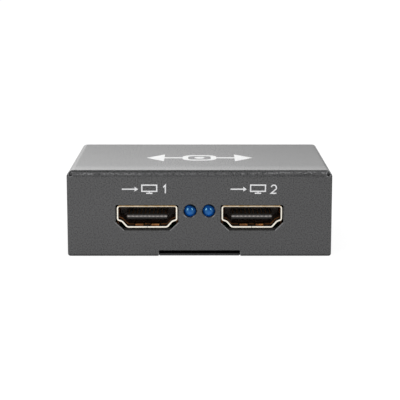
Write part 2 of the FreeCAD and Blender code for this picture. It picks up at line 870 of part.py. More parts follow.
def splitter_chip():
    return moulded_body(chip_side / 2, chip_side / 2, chip_height, chip_corner_chamfer,
                        mark_inset, mark_radius)


def splitter_chip_leads():
    middle = chip_lift + chip_height / 2
    row = gull_leads(chip_side / 2, middle, chip_leads_per_side, chip_pitch,
                     chip_lead_width, chip_lead_thickness)
    return [place(lead, turn=90 * side) for side in range(4) for lead in row]


def memory_chip():
    return moulded_body(memory_length / 2, memory_width / 2, memory_height, body_chamfer,
                        memory_mark_inset, memory_mark_radius)


def memory_chip_leads():
    middle = chip_lift + memory_height / 2
    row = gull_leads(memory_width / 2, middle, memory_leads_per_side, memory_pitch,
                     memory_lead_width, memory_lead_thickness)
    return [place(lead, turn=turn) for turn in (0, 180) for lead in row]


def voltage_regulator():
    return prism(chamfered_square(regulator_length / 2, regulator_width / 2, body_chamfer),
                 "xy", chip_lift, chip_lift + regulator_height)


def voltage_regulator_leads():
    middle = chip_lift + regulator_height / 2
    reach = regulator_width / 2
    row = gull_leads(reach, middle, regulator_lead_count, regulator_pitch,
                     regulator_lead_width, regulator_lead_thickness)
    tab = gull_leads(reach, middle, 1, regulator_pitch, regulator_tab_width, regulator_lead_thickness)
    return row + [place(tab[0], turn=180)]


def power_inductor():
    half = inductor_side / 2
    body = prism(chamfered_square(half, half, inductor_corner_chamfer), "xy", 0, inductor_height)
    well = upright(0, 0, inductor_height - inductor_well_depth, inductor_height + overrun,
                   inductor_well_radius)
    return body.cut(well)


def inductor_core():
    low = inductor_height - inductor_well_depth
    return upright(0, 0, low, inductor_height, inductor_well_radius - inductor_core_gap)


def crystal_can():
    def stadium(spare):
        half_y = crystal_width / 2 + spare
        half_x = crystal_length / 2 + spare
        return rectangle(half_x, half_y, half_y - crystal_flange_height / 2)

    body = prism(stadium(0), "xy", 0, crystal_height)
    body = softened(body, crystal_top_round, lambda edge: edge_lies_at(edge, "Z", crystal_height))
    flange = prism(stadium(crystal_flange), "xy", 0, crystal_flange_height)
    return place(joined(body, flange), z=crystal_foot_thickness)


def crystal_feet():
    half = crystal_foot_width / 2
    end = crystal_length / 2 + crystal_flange + crystal_foot_reach
    start = crystal_length / 2 - crystal_width / 2
    foot = block(start, end, -half, half, 0, crystal_foot_thickness)
    return [foot, place(foot, turn=180)]


def capacitor_can():
    body = upright(0, 0, can_base_height, can_base_height + can_height, can_radius)
    top = can_base_height + can_height
    body = softened(body, can_top_round, lambda edge: edge_lies_at(edge, "Z", top))
    low = can_base_height + can_groove_height
    ring = upright(0, 0, low, low + can_groove_width, can_radius + overrun)
    ring = ring.cut(upright(0, 0, low - overrun, low + can_groove_width + overrun,
                            can_radius - can_groove_depth))
    return body.cut(ring)


def capacitor_base():
    half = can_base_side / 2
    cut = can_base_chamfer
    corners = [(-half, -half), (half - cut, -half), (half, -half + cut), (half, half - cut),
               (half - cut, half), (-half, half)]
    return prism(corners, "xy", 0, can_base_height)


def small_chip(height):
    half_x, half_y = chip_body_length / 2, chip_body_width / 2
    return block(-half_x, half_x, -half_y, half_y, 0, height)


def chip_ends(height):
    half_x, half_y = chip_body_length / 2, chip_body_width / 2
    end = block(half_x, half_x + chip_end_length, -half_y, half_y, 0, height)
    return [end, place(end, turn=180)]


def surge_protector():
    half_x, half_y = surge_length / 2, surge_width / 2
    body = block(-half_x, half_x, -half_y, half_y, 0, surge_height)
    feet = [block(half_x, half_x + surge_foot, -half_y / 2, half_y / 2, 0, surge_foot / 2)]
    feet.append(place(feet[0], turn=180))
    return joined(body, *feet)


def spots(shares, half_x=board_half_width, half_y=board_half_depth, centre=(0, 0)):
    """Places (x, y) at shares of a half width and half depth about a centre."""
    return [(centre[0] + u * half_x, centre[1] + v * half_y) for u, v in shares]


def behind_socket(x, side, shares):
    """Places just behind a socket's feet; side is -1 at the front and 1 at the rear."""
    y = side * (tail_end - small_chip_gap - chip_body_width / 2)
    return [(x + share * shell_width / 2, y) for share in shares]


def beside_socket(x, half, way, side, depth):
    """A surge protector's place beside a socket, on its left (way -1) or right (way 1)."""
    return x + way * (half + surge_gap + surge_length / 2 + surge_foot), side * (socket_face - depth)


def can_places():
    """Two cans at shares of the board and one beside the power socket."""
    side_x = power_place_x + power_width / 2 + side_can_gap + can_base_side / 2
    return spots(can_place_shares) + [(side_x, side_can_place_share * board_half_depth)]


def capacitor_places():
    return spots(capacitor_ring_shares, chip_reach, chip_reach, spots([chip_place_share])[0])


def resistor_places():
    left, right = output_places_x
    lamp_y = lamp_face + lamp_length + lead_run + lamp_resistor_gap
    return (behind_socket(left, -1, resistor_row_shares)
            + behind_socket(right, -1, resistor_pair_shares)
            + behind_socket(input_place_x, 1, resistor_row_shares)
            + [(-lamp_resistor_place, lamp_y), (lamp_resistor_place, lamp_y)])


def surge_places():
    left, right = output_places_x
    half = shell_width / 2
    inner, outer = shell_length * surge_inner_share, shell_length * surge_outer_share
    return [beside_socket(left, half, -1, -1, outer), beside_socket(left, half, 1, -1, inner),
            beside_socket(right, half, -1, -1, inner), beside_socket(input_place_x, half, -1, 1, outer),
            beside_socket(input_place_x, half, 1, 1, inner),
            beside_socket(power_place_x, power_width / 2, -1, 1, power_length * power_surge_share)]


def on_board(shapes, places, turn=0):
    """Copies of the shapes at each place (x, y) on the board."""
    return [place(shape, x, y, board_top, turn) for x, y in places for shape in shapes]


def at_front(shapes, x, face=-socket_face):
    return [place(shape, x, face, board_top) for shape in shapes]


def at_rear(shapes, x):
    return [place(shape, x, socket_face, board_top, 180) for shape in shapes]


def circuit_board():
    board = prism(rectangle(board_half_width, board_half_depth, board_corner_radius), "xy",
                  board_bottom, board_top)
    cuts = []
    for x in output_places_x:
        cuts.extend(at_front(socket_holes(), x))
    cuts.extend(at_rear(socket_holes(), input_place_x))
    cuts.extend(at_rear(power_holes(), power_place_x))
    for x in lamp_places_x:
        cuts.extend(at_front(lamp_holes(), x, lamp_face))
    for x, y in four_ways(standoff_x, standoff_y):
        cuts.append(upright(x, y, board_bottom - overrun, board_top + overrun,
                            board_screw_radius + board_screw_hole_clearance))
    return board.cut(cuts)


def main():
    os.makedirs("parts", exist_ok=True)
    save("cover", [cover()])
    save("base_plate", [base_plate()])
    save("cover_brackets", cover_brackets())
    save("case_screws", case_screws())
    save("board_standoffs", board_standoffs())
    save("board_screws", board_screws())
    save("circuit_board", [circuit_board()])

    shell, insulator, contacts = [socket_shell()], [socket_insulator()], socket_contacts()
    for number, x in enumerate(output_places_x, 1):
        save("output_%d_shell" % number, at_front(shell, x))
        save("output_%d_insulator" % number, at_front(insulator, x))
        save("output_%d_contacts" % number, at_front(contacts, x))
    save("input_shell", at_rear(shell, input_place_x))
    save("input_insulator", at_rear(insulator, input_place_x))
    save("input_contacts", at_rear(contacts, input_place_x))

    save("power_socket_housing", at_rear([power_housing()], power_place_x))
    save("power_socket_pin", at_rear([power_pin()], power_place_x))
    save("power_socket_spring", at_rear([power_spring()], power_place_x))

    for number, x in enumerate(lamp_places_x, 1):
        save("lamp_%d_lens" % number, at_front([lamp_lens()], x, lamp_face))
        save("lamp_%d_leads" % number, at_front(lamp_leads(), x, lamp_face))

    chip_spot = spots([chip_place_share])
    save("splitter_chip", on_board([splitter_chip()], chip_spot))
    save("splitter_chip_leads", on_board(splitter_chip_leads(), chip_spot))
    memory_spot = spots([memory_place_share])
    save("memory_chip", on_board([memory_chip()], memory_spot))
    save("memory_chip_leads", on_board(memory_chip_leads(), memory_spot))
    regulator_spot = spots([regulator_place_share])
    save("voltage_regulator", on_board([voltage_regulator()], regulator_spot))
    save("voltage_regulator_leads", on_board(voltage_regulator_leads(), regulator_spot))
    inductor_spot = spots([inductor_place_share])
    save("power_inductor", on_board([power_inductor()], inductor_spot))
    save("inductor_core", on_board([inductor_core()], inductor_spot))
    crystal_spot = spots([crystal_place_share])
    save("crystal_can", on_board([crystal_can()], crystal_spot))
    save("crystal_feet", on_board(crystal_feet(), crystal_spot))
    save("capacitor_cans", on_board([capacitor_can()], can_places()))
    save("capacitor_bases", on_board([capacitor_base()], can_places()))
    save("chip_capacitors", on_board([small_chip(capacitor_body_height)], capacitor_places()))
    save("chip_resistors", on_board([small_chip(resistor_body_height)], resistor_places()))
    save("chip_end_caps", on_board(chip_ends(capacitor_body_height), capacitor_places())
         + on_board(chip_ends(resistor_body_height), resistor_places()))
    save("surge_protectors", on_board([surge_protector()], surge_places()))


main()
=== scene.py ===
import math

import bmesh
import bpy
from mathutils import Matrix, Vector


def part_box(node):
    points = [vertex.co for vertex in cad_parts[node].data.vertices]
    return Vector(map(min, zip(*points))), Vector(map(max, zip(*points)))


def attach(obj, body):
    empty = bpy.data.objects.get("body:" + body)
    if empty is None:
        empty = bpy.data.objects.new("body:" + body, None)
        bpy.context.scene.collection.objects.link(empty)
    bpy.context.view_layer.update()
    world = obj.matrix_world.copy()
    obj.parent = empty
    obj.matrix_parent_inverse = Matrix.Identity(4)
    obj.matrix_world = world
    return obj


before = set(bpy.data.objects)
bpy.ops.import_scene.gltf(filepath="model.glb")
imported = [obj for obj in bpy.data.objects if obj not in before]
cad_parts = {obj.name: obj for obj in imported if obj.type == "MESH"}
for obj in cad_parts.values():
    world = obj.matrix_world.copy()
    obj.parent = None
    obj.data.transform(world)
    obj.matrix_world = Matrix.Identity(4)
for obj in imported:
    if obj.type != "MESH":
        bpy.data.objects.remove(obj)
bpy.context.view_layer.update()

bl_info = {
    "name": "Video Splitter Finish",
    "version": (1, 0, 0),
    "blender": (4, 5, 0),
    "location": "View3D > Sidebar > Splitter",
    "description": "Finishes, printed marks and stage for the packed video splitter",
    "category": "Material",
}

MM = 0.001

# The sizes and places from here to the first class are in millimetres.
CASE_LOW, CASE_HIGH = [Vector(corner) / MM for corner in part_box("cover")]
CASE_TOP = CASE_HIGH.z
CASE_FRONT = CASE_LOW.y
CASE_REAR = CASE_HIGH.y
BEND_RADIUS = 1.6
BEND_START = CASE_TOP - BEND_RADIUS

# A socket's mouth and its middle, from the case's middle, at the front and at the rear alike. The two
# springs in its floor are placed from its own middle.
MOUTH = abs(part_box("output_1_shell")[0].y) / MM
SOCKET_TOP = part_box("output_1_shell")[1].z / MM
OUTPUT_PLACE = 12.7
SPRING_PLACE = 1.95
SPRING_HALF = 1.0

# The tongue stands over the board, with its upper contacts from half a pitch beside a socket's middle.
BOARD_LOW, BOARD_TOP = [corner.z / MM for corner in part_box("circuit_board")]
BOARD_EDGE = abs(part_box("circuit_board")[0].y) / MM
TONGUE_HEIGHT = 2.77
TONGUE_MIDDLE = BOARD_TOP + TONGUE_HEIGHT
CONTACT_PITCH = 1.0
UPPER_CONTACT = OUTPUT_PLACE - CONTACT_PITCH / 2

# What is cut in the cover: windows with slanted corners, lamp holes, a notch and corner reliefs.
WINDOW_HALF = 7.6
WINDOW_FOOT_DROP = 0.34
WINDOW_LOW = BOARD_TOP - WINDOW_FOOT_DROP
WINDOW_CHAMFER = Vector((2.0, 1.9))
LAMP_HOLE_LIFT = 0.07
LAMP_HOLE_RADIUS = 1.62
NOTCH_HALF = 9.9
RELIEF_INSET = 0.95
RELIEF_DROP = 0.9
RELIEF_RADIUS = 0.45
RELIEF_X = CASE_HIGH.x - RELIEF_INSET
RELIEF_Z = CASE_TOP - RELIEF_DROP

# The right lens's box takes in its collar, which is flat on the left. So the box's middle lies 0.15
# outside the lens's axis, and half its width is more than the radius that shows.
LAMP_LOW, LAMP_HIGH = [Vector(corner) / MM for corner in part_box("lamp_2_lens")]
LAMP_X = (LAMP_LOW.x + LAMP_HIGH.x) / 2
LAMP_Z = (LAMP_LOW.z + LAMP_HIGH.z) / 2
LAMP_HALF = (LAMP_HIGH.x - LAMP_LOW.x) / 2
LAMP_HOLE_Z = LAMP_Z + LAMP_HOLE_LIFT

# Bands along a bend of painted glint specks, a painted dark reflection line and darker patches: where each
# starts and ends over the bend's start, and its soft edge.
SPECK_BAND = (0.62, 1.02, 0.14)
LINE_BAND = (1.22, 1.48, 0.06)
PATCH_BAND = (0.25, 0.60, 0.12)

# The cover's bump falls with the square of the way from its rear edge, and again with that of the way
# into its front stretch, in hundredths of a millimetre for each square millimetre.
SAG = 0.03
FRONT_SAG = 0.36
FRONT_STRETCH = 8

# The numbers of a Mix node's colour sockets. Its sockets for other kinds of value have the same names.
MIX_FACTOR, MIX_FIRST, MIX_SECOND = 0, 6, 7
MIX_RESULT = 2

# A printed mark is made flat, then stood up on the front or turned round to the rear.
STOOD_UP = Matrix.Rotation(math.radians(90), 4, "X")
TURNED_ROUND = Matrix.Rotation(math.radians(180), 4, "Z") @ STOOD_UP


class Number:
    """A number in a node tree: sums written in Python become Math nodes."""

    def __init__(self, nodes, socket):
        self.nodes = nodes
        self.socket = socket

    def through(self, operation, *terms):
        """What a Math node makes of some terms."""
        node = self.nodes.node("ShaderNodeMath", {"operation": operation}, dict(enumerate(terms)))
        return Number(self.nodes, node.outputs["Value"])

    def __add__(self, other):
        return self.through("ADD", self, other)

    __radd__ = __add__

    def __mul__(self, other):
        return self.through("MULTIPLY", self, other)

    __rmul__ = __mul__

    def __sub__(self, other):
        return self.through("SUBTRACT", self, other)

    def __rsub__(self, other):
        return self.through("SUBTRACT", other, self)

    def __neg__(self):
        return 0 - self

    def __abs__(self):
        return self.through("ABSOLUTE", self)

    def root(self):
        return self.through("SQRT", self)

    def larger(self, other):
        return self.through("MAXIMUM", self, other)

    def wave(self, length):
        """A wave from 0 to 1 of the given length, whose first crest is a quarter of it past 0."""
        return self.through("SINE", self * (2 * math.pi / length)) * 0.5 + 0.5

    def ramp(self, start, end):
        """A soft step from 0 at start to 1 at end."""
        node = self.nodes.node("ShaderNodeMapRange", {"interpolation_type": "SMOOTHSTEP"},
                               {"Value": self, "From Min": start, "From Max": end})
        return Number(self.nodes, node.outputs["Result"])

    def within(self, low, high, soft):
        """1 between low and high and 0 outside, with soft edges."""
        return self.ramp(low - soft, low + soft) * (1 - self.ramp(high - soft, high + soft))


class Nodes:
    """A node tree and the one way that nodes are added to it."""

    def __init__(self, tree):
        self.tree = tree
        tree.nodes.clear()

    def node(self, kind, settings=None, inputs=None):
        """A node of a kind. Its settings are set first, then its sockets get values or links."""
        made = self.tree.nodes.new(kind)
        for name, value in (settings or {}).items():
            setattr(made, name, value)
        for key, value in (inputs or {}).items():
            self.feed(made.inputs[key], value)
        return made

    def feed(self, socket, value):
        """Links a socket to a number or another socket, or sets its value."""
        if isinstance(value, Number):
            value = value.socket
        if isinstance(value, bpy.types.NodeSocket):
            self.tree.links.new(value, socket)
        elif isinstance(value, tuple) and len(value) == 3 and socket.type == "RGBA":
            socket.default_value = (*value, 1)
        else:
            socket.default_value = value


class Shader(Nodes):
    """A material whose patterns follow the object's own millimetres."""

    def __init__(self, name):
        self.material = bpy.data.materials.new(name)
        self.material.use_nodes = True
        super().__init__(self.material.node_tree)
        own = self.node("ShaderNodeTexCoord").outputs["Object"]
        scaled = self.node("ShaderNodeVectorMath", {"operation": "SCALE"}, {"Vector": own, "Scale": 1 / MM})
        self.place = scaled.outputs["Vector"]
        split = self.node("ShaderNodeSeparateXYZ", None, {"Vector": self.place})
        self.x, self.y, self.z = [Number(self, split.outputs[axis]) for axis in "XYZ"]

    def noise(self, grain, detail=2, roughness=0.5, stretch=None):
        """Noise about 0, from -0.5 to 0.5, with grains of about the given size in millimetres."""
        place = self.place
        if stretch:
            place = self.node("ShaderNodeVectorMath", {"operation": "MULTIPLY"},
                              {0: place, 1: stretch}).outputs["Vector"]
        node = self.node("ShaderNodeTexNoise", None, {"Vector": place, "Scale": 1 / grain,
                                                      "Detail": detail, "Roughness": roughness})
        return Number(self, node.outputs["Fac"]) - 0.5

    def blend(self, factor, first, second):
        """A colour between two colours."""
        node = self.node("ShaderNodeMix", {"data_type": "RGBA"},
                         {MIX_FACTOR: factor, MIX_FIRST: first, MIX_SECOND: second})
        return node.outputs[MIX_RESULT]

    def shaded(self, colour, level):
        """A colour made lighter or darker by a number."""
        node = self.node("ShaderNodeVectorMath", {"operation": "SCALE"}, {0: colour, "Scale": level})
        return node.outputs["Vector"]

    def finish(self, colour, roughness, height=None, depth=0.01, **constants):
        """The surface: a height of 1 raises it by depth millimetres, and constants are shader sockets."""
        inputs = {"Base Color": colour, "Roughness": roughness}
        inputs.update({name.replace("_", " "): value for name, value in constants.items()})
        if height is not None:
            bump = self.node("ShaderNodeBump", None, {"Strength": 1.0, "Distance": depth * MM,
                                                      "Height": height})
            inputs["Normal"] = bump.outputs["Normal"]
        surface = self.node("ShaderNodeBsdfPrincipled", None, inputs)
        self.node("ShaderNodeOutputMaterial", None, {"Surface": surface.outputs["BSDF"]})
        return self.material


def reach_from(across, up, centre_x, centre_z):
    """The distance from a hole's axis."""
    beside = across - centre_x
    above = up - centre_z
    return (beside * beside + above * above).root()


def chamfer_highlights(shader):
    """A painted highlight in a strip beside the slanted corners of each output's window."""
    strip, soft, end_soft = 0.13, 0.03, 0.1
    from_socket = abs(abs(shader.x) - OUTPUT_PLACE) - WINDOW_HALF + WINDOW_CHAMFER.x
    over_foot = shader.z - WINDOW_LOW
    outward = from_socket * WINDOW_CHAMFER.y - over_foot * WINDOW_CHAMFER.x
    outward = outward * (1 / WINDOW_CHAMFER.length)
    return outward.within(-soft, strip, soft) * over_foot.within(-end_soft, WINDOW_CHAMFER.y, end_soft)


def lamp_rim_highlights(shader):
    """A painted highlight on the lower left and the lower right of each lamp hole's rim."""
    strip, soft = 0.16, 0.04
    reach = reach_from(abs(shader.x), shader.z, LAMP_X, LAMP_HOLE_Z)
    rim = reach.within(LAMP_HOLE_RADIUS, LAMP_HOLE_RADIUS + strip, soft)
    beside = abs(abs(shader.x) - LAMP_X)
    below = LAMP_Z - shader.z
    return rim * beside.ramp(0.55, 0.85) * below.ramp(0.7, 1.2)


def relief_highlights(shader, broken):
    """A broken ring of painted highlight round each corner's relief hole, which also runs along the side
    bends.
    """
    strip, soft = 0.22, 0.05
    reach = reach_from(abs(shader.x), shader.z, RELIEF_X, RELIEF_Z)
    return reach.within(RELIEF_RADIUS, RELIEF_RADIUS + strip, soft) * broken.ramp(-0.02, 0.08)


def notch_highlights(shader):
    """A painted highlight in a strip up each end of the notch."""
    strip, soft = 0.2, 0.05
    return abs(shader.x).within(NOTCH_HALF, NOTCH_HALF + strip, soft) * (1 - shader.z.ramp(0.7, 1.2))


def edge_highlights(shader, broken):
    """How much painted highlight lies about the front's cuts and the four reliefs."""
    front = (-shader.y).ramp(0, 1)
    cuts = chamfer_highlights(shader) + lamp_rim_highlights(shader) + notch_highlights(shader) * 0.5
    return cuts * front * broken.ramp(-0.2, 0.0) + relief_highlights(shader, broken)


def bend_painted_light(shader, broken):
    """Painted light from the bends up, with pale specks of painted glint, a painted dark reflection line and
    darker patches along them.

    Gives what all this adds to the paint's level, and what the marks add to its height.
    """
    rightward = shader.x.ramp(2, 26)
    up = shader.z - BEND_START
    # Pale specks of painted glint on the bend's lower half.
    specks = (up - rightward * 0.25).within(*SPECK_BAND) * broken.ramp(-0.02, 0.1)
    specks = specks * (0.7 + abs(shader.x) * 0.045)
    # A painted dark reflection of the room overhead, in a line along the bend on the left.
    line = up.within(*LINE_BAND) * (1 - rightward)
    patches = up.within(*PATCH_BAND) * (-broken).ramp(-0.06, 0.06) * rightward
    # Painted light lifts the paint from the bends up, over the whole top.
    level = up.ramp(0.1, 0.5) * 0.2 + specks * 1.7 - line * 0.35 - patches * 0.5
    return level, specks - line - patches


def sag(shader):
    """How far the folded sheet falls from its rear edge to its front, most steeply at the front."""
    reach = CASE_REAR - shader.y
    front_reach = (CASE_FRONT + FRONT_STRETCH - shader.y).larger(0)
    return reach * reach * SAG + front_reach * front_reach * FRONT_SAG


def case_paint(colour, name="fine_textured_paint", folded=True):
    """Fine-textured dark paint. The folded cover's carries painted light along its bends, painted highlights
    about its cuts and painted shadow at its foot.
    """
    shader = Shader(name)
    grain = shader.noise(0.3)
    cloud = shader.noise(7.0)
    level = 1 + grain * 2.6 + cloud * 0.12
    height = grain * 0.6 + cloud * 3
    if folded:
        broken = shader.noise(0.45, detail=5, roughness=0.75)
        bend_light_level, bend_height = bend_painted_light(shader, broken)
        # Painted shadow darkens the cover's foot, where it meets the table.
        foot = 1 - shader.z.ramp(CASE_LOW.z + 0.15, CASE_LOW.z + 0.6)
        # Painted light along the bends and painted highlights about the cuts raise the level, and the
        # painted shadow at the foot lowers it.
        level = level + bend_light_level + edge_highlights(shader, broken) * 3.0 - foot * 0.7
        height = height + bend_height - sag(shader)
    return shader.finish(shader.shaded(colour, level), 0.28 + grain * 0.1, height, Specular_IOR_Level=0.5)


def metal(name, colour, roughness, grain=0.3, stretch=None):
    """Plated or bare metal with faint marks of its forming."""
    swing = 0.12
    shader = Shader(name)
    marks = shader.noise(grain, detail=4, roughness=0.6, stretch=stretch)
    cloud = shader.noise(grain * 6)
    level = 1 + marks * swing + cloud * swing
    return shader.finish(shader.shaded(colour, level), roughness + marks * 0.12, marks, 0.003, Metallic=1.0)


def moulding(name, colour, roughness, grain=0.12):
    """Moulded resin, ferrite or ceramic with a fine matt grain."""
    shader = Shader(name)
    marks = shader.noise(grain, detail=4, roughness=0.6)
    cloud = shader.noise(2.5)
    level = 1 + marks * 0.3 + cloud * 0.18
    return shader.finish(shader.shaded(colour, level), roughness + marks * 0.15, marks, 0.004)


def socket_plating_and_painted_light(rim, shaded, copper, inside):
    """Gilt nickel, pale at the mouth and tan in painted shade under the case's edge. Inside, painted light
    makes a copper band low down and copper glints on the springs, and painted shade makes the rest brown.
    """
    shader = Shader("gilt_nickel_and_painted_light")
    depth = MOUTH - abs(shader.y)
    below_top = SOCKET_TOP - shader.z
    lip = depth.ramp(0, 0.035)
    # Painted shade under the case's top edge.
    under = 1 - below_top.ramp(0.2, 0.5)
    low = below_top.ramp(2.6, 3.8)
    beside = abs(abs(shader.x) - OUTPUT_PLACE)
    spring = beside.within(SPRING_PLACE - SPRING_HALF, SPRING_PLACE + SPRING_HALF, 0.04)
    spring = spring * below_top.ramp(4.4, 4.6)
    blotch = shader.noise(1.2, detail=3).ramp(-0.12, 0.12)
    # Painted light: a copper band low inside the mouth, and glints on the springs.
    glow = depth.within(2.3, 3.5, 0.4) * (1 - spring) + depth.within(1.4, 1.9, 0.2) * spring
    glow = glow * low * (0.55 + blotch * 0.45)
    marks = shader.noise(0.35, detail=3, stretch=(1.0, 0.25, 1.0))
    colour = shader.blend(under * (0.75 + blotch * 0.25), rim, shaded)
    # Painted shade makes the inside brown, but for the painted copper light.
    colour = shader.blend(lip, colour, shader.blend(glow, inside, copper))
    level = 1 + marks * 0.25
    return shader.finish(shader.shaded(colour, level), 0.26 + marks * 0.1 + lip * 0.06, marks, 0.003,
                         Metallic=1 - lip * glow * 0.6)


def socket_insulation(colour, nose):
    """Black moulding whose tongue's nose carries a painted grey highlight, palest at its upper contacts; the
    rest of its front millimetre is darker.
    """
    shader = Shader("socket_moulding")
    marks = shader.noise(0.12, detail=3)
    depth = MOUTH - abs(shader.y)
    band = shader.z.within(TONGUE_MIDDLE - 0.1, TONGUE_MIDDLE + 0.2, 0.08)
    front = 1 - depth.ramp(0.95, 1.1)
    scallop = (abs(shader.x) - (UPPER_CONTACT - CONTACT_PITCH / 4)).wave(CONTACT_PITCH)
    # A painted highlight along the tongue's nose, palest at the contacts.
    worn = band * front * (0.45 + scallop * 0.55)
    colour = shader.blend(worn, colour, nose)
    # Darker over the front millimetre, but for the nose.
    level = (1 + marks * 0.4) * (1 - front * (1 - band) * 0.75)
    return shader.finish(shader.shaded(colour, level), 0.42 + marks * 0.15, marks, 0.004)


def lens_resin(middle, rim, radius):
    """Clear blue resin, darker at its edge, lightest below its middle in a painted reflection of the floor,
    and darker at its upper right in painted shadow.
    """
    shader = Shader("blue_resin")
    side = shader.x.ramp(-0.1, 0.1) * 2 - 1
    across = shader.x - side * LAMP_X
    up = shader.z - LAMP_Z
    edge = (across * across + up * up).root().ramp(radius * 0.85, radius * 1.05)
    # Painted shadow of the hole's wall over the lens's upper right.
    shade = (up * 0.9 + across * 0.44).ramp(radius * 0.5, radius * 0.8)
    # A painted reflection of the floor, lightest below the lens's middle.
    floor_reflection_fade = reach_from(across, up, 0, radius * -0.4).ramp(radius * 0.1, radius * 0.6)
    swirl = shader.noise(0.5)
    colour = shader.blend(edge.larger(shade), middle, rim)
    level = (1.3 - floor_reflection_fade * 0.5 + swirl * 0.2) * (1 - shade * 0.92) * (1 - edge * 0.3)
    return shader.finish(shader.shaded(colour, level), 0.04 + swirl * 0.04, IOR=1.7,
                         Specular_Tint=(0.36, 0.9, 1.0))


def board_mask(mask, track, laminate):
    """Solder mask over copper tracks and the laminate's weave, with bare laminate on the side faces, and
    painted shade in the laminate's colour on the strips along the front and rear edges.
    """
    shader = Shader("green_mask")
    bend = shader.noise(3.0, detail=1) * 3
    run = (shader.x + bend).wave(1.2).ramp(0.66, 0.8)
    cross = (shader.y + bend).wave(1.4).ramp(0.7, 0.84)
    zone = shader.noise(5.0, detail=0).ramp(-0.04, 0.04)
    tracks = run * zone + cross * (1 - zone)
    weave = shader.x.wave(0.5) * shader.y.wave(0.5)
    colour = shader.blend(tracks, mask, track)
    bare = shader.z.within(BOARD_LOW + 0.03, BOARD_TOP - 0.03, 0.01)
    # Painted shade: the laminate's dark colour also covers the strips along the front and rear edges.
    bare = bare.larger(abs(shader.y).ramp(BOARD_EDGE - 1.9, BOARD_EDGE - 1.8))
    colour = shader.blend(bare, colour, laminate)
    grime = shader.noise(1.5, detail=3)
    return shader.finish(shader.shaded(colour, 1 + grime * 0.2), 0.3 + grime * 0.15 + bare * 0.4,
                         tracks + weave * 0.25, 0.02)


def print_ink(name, colour):
    """Screen-printed ink with slightly uneven cover."""
    shader = Shader(name)
    cover = shader.noise(0.3, detail=3)
    return shader.finish(shader.shaded(colour, 1 + cover * 0.12), 0.5 + cover * 0.2, cover, 0.004)


def dress(material, *nodes):
    """Gives CAD nodes a material in every slot."""
    for node in nodes:
        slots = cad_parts[node].material_slots
        if not slots:
            raise RuntimeError("no material slot on " + node)
        for slot in slots:
            slot.material = material


def keep(name, mesh, material):
    """A finished piece at the origin, riding on the case."""
    mesh.materials.append(material)
    piece = bpy.data.objects.new(name, mesh)
    bpy.context.scene.collection.objects.link(piece)
    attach(piece, "root")


def arc_points(centre, radius, start, end, steps):
    """Points along an arc, angles in degrees."""
    points = []
    for i in range(steps + 1):
        angle = math.radians(start + (end - start) * i / steps)
        points.append(Vector((centre[0] + radius * math.cos(angle), centre[1] + radius * math.sin(angle))))
    return points


def disc_points(radius, steps):
    """Points round a circle about the origin, with no point twice."""
    return arc_points((0, 0), radius, 0, 360, steps)[:-1]


def round_corners(half_wide, half_tall, radius, steps=6):
    """A rectangle's outline with rounded corners."""
    points = []
    for u, v, start in ((1, 1, 0), (-1, 1, 90), (-1, -1, 180), (1, -1, 270)):
        centre = (u * (half_wide - radius), v * (half_tall - radius))
        points.extend(arc_points(centre, radius, start, start + 90, steps))
    return points


class InkSheet:
    """Strokes and patches of ink that meet edge to edge on a flat sheet, in millimetres."""

    # Points this close are joined. At a sharp turn, the cosine of half the turn counts as no less than
    # the second value, so that the mitre stays short.
    JOIN_DISTANCE = 0.0005
    LEAST_COSINE = 0.3

    def __init__(self, thickness):
        self.form = bmesh.new()
        self.thickness = thickness

    def patch(self, outline):
        """A filled outline."""
        face = self.form.faces.new([self.form.verts.new((point[0], point[1], 0)) for point in outline])
        face.normal_update()
        if face.normal.z < 0:
            face.normal_flip()

    def stroke(self, points, width, closed=False):
        """A line of even width, mitred at its corners."""
        points = [Vector(point) for point in points]
        half = width / 2
        count = len(points)
        left, right = [], []
        for i, point in enumerate(points):
            before = points[i - 1] if i > 0 or closed else None
            after = points[(i + 1) % count] if i < count - 1 or closed else None
            ahead = (after - point).normalized() if after is not None else None
            behind = (point - before).normalized() if before is not None else None
            run = ((ahead or behind) + (behind or ahead)).normalized()
            reach = half / max(self.LEAST_COSINE, run.dot(ahead or behind))
            side = Vector((-run.y, run.x)) * reach
            left.append(point + side)
            right.append(point - side)
        for i in range(count if closed else count - 1):
            following = (i + 1) % count
            self.patch([left[i], right[i], right[following], left[following]])

    def mesh(self, name, matrix):
        """The sheet given its thickness, placed by a matrix and scaled to metres."""
        bmesh.ops.remove_doubles(self.form, verts=self.form.verts[:], dist=self.JOIN_DISTANCE)
        top = bmesh.ops.extrude_face_region(self.form, geom=self.form.faces[:])["geom"]
        raised = [item for item in top if isinstance(item, bmesh.types.BMVert)]
        bmesh.ops.translate(self.form, verts=raised, vec=(0, 0, self.thickness))
        bmesh.ops.recalc_face_normals(self.form, faces=self.form.faces[:])
        mesh = bpy.data.meshes.new(name)
        self.form.to_mesh(mesh)
        self.form.free()
        mesh.transform(Matrix.Scale(MM, 4) @ matrix)
        return mesh


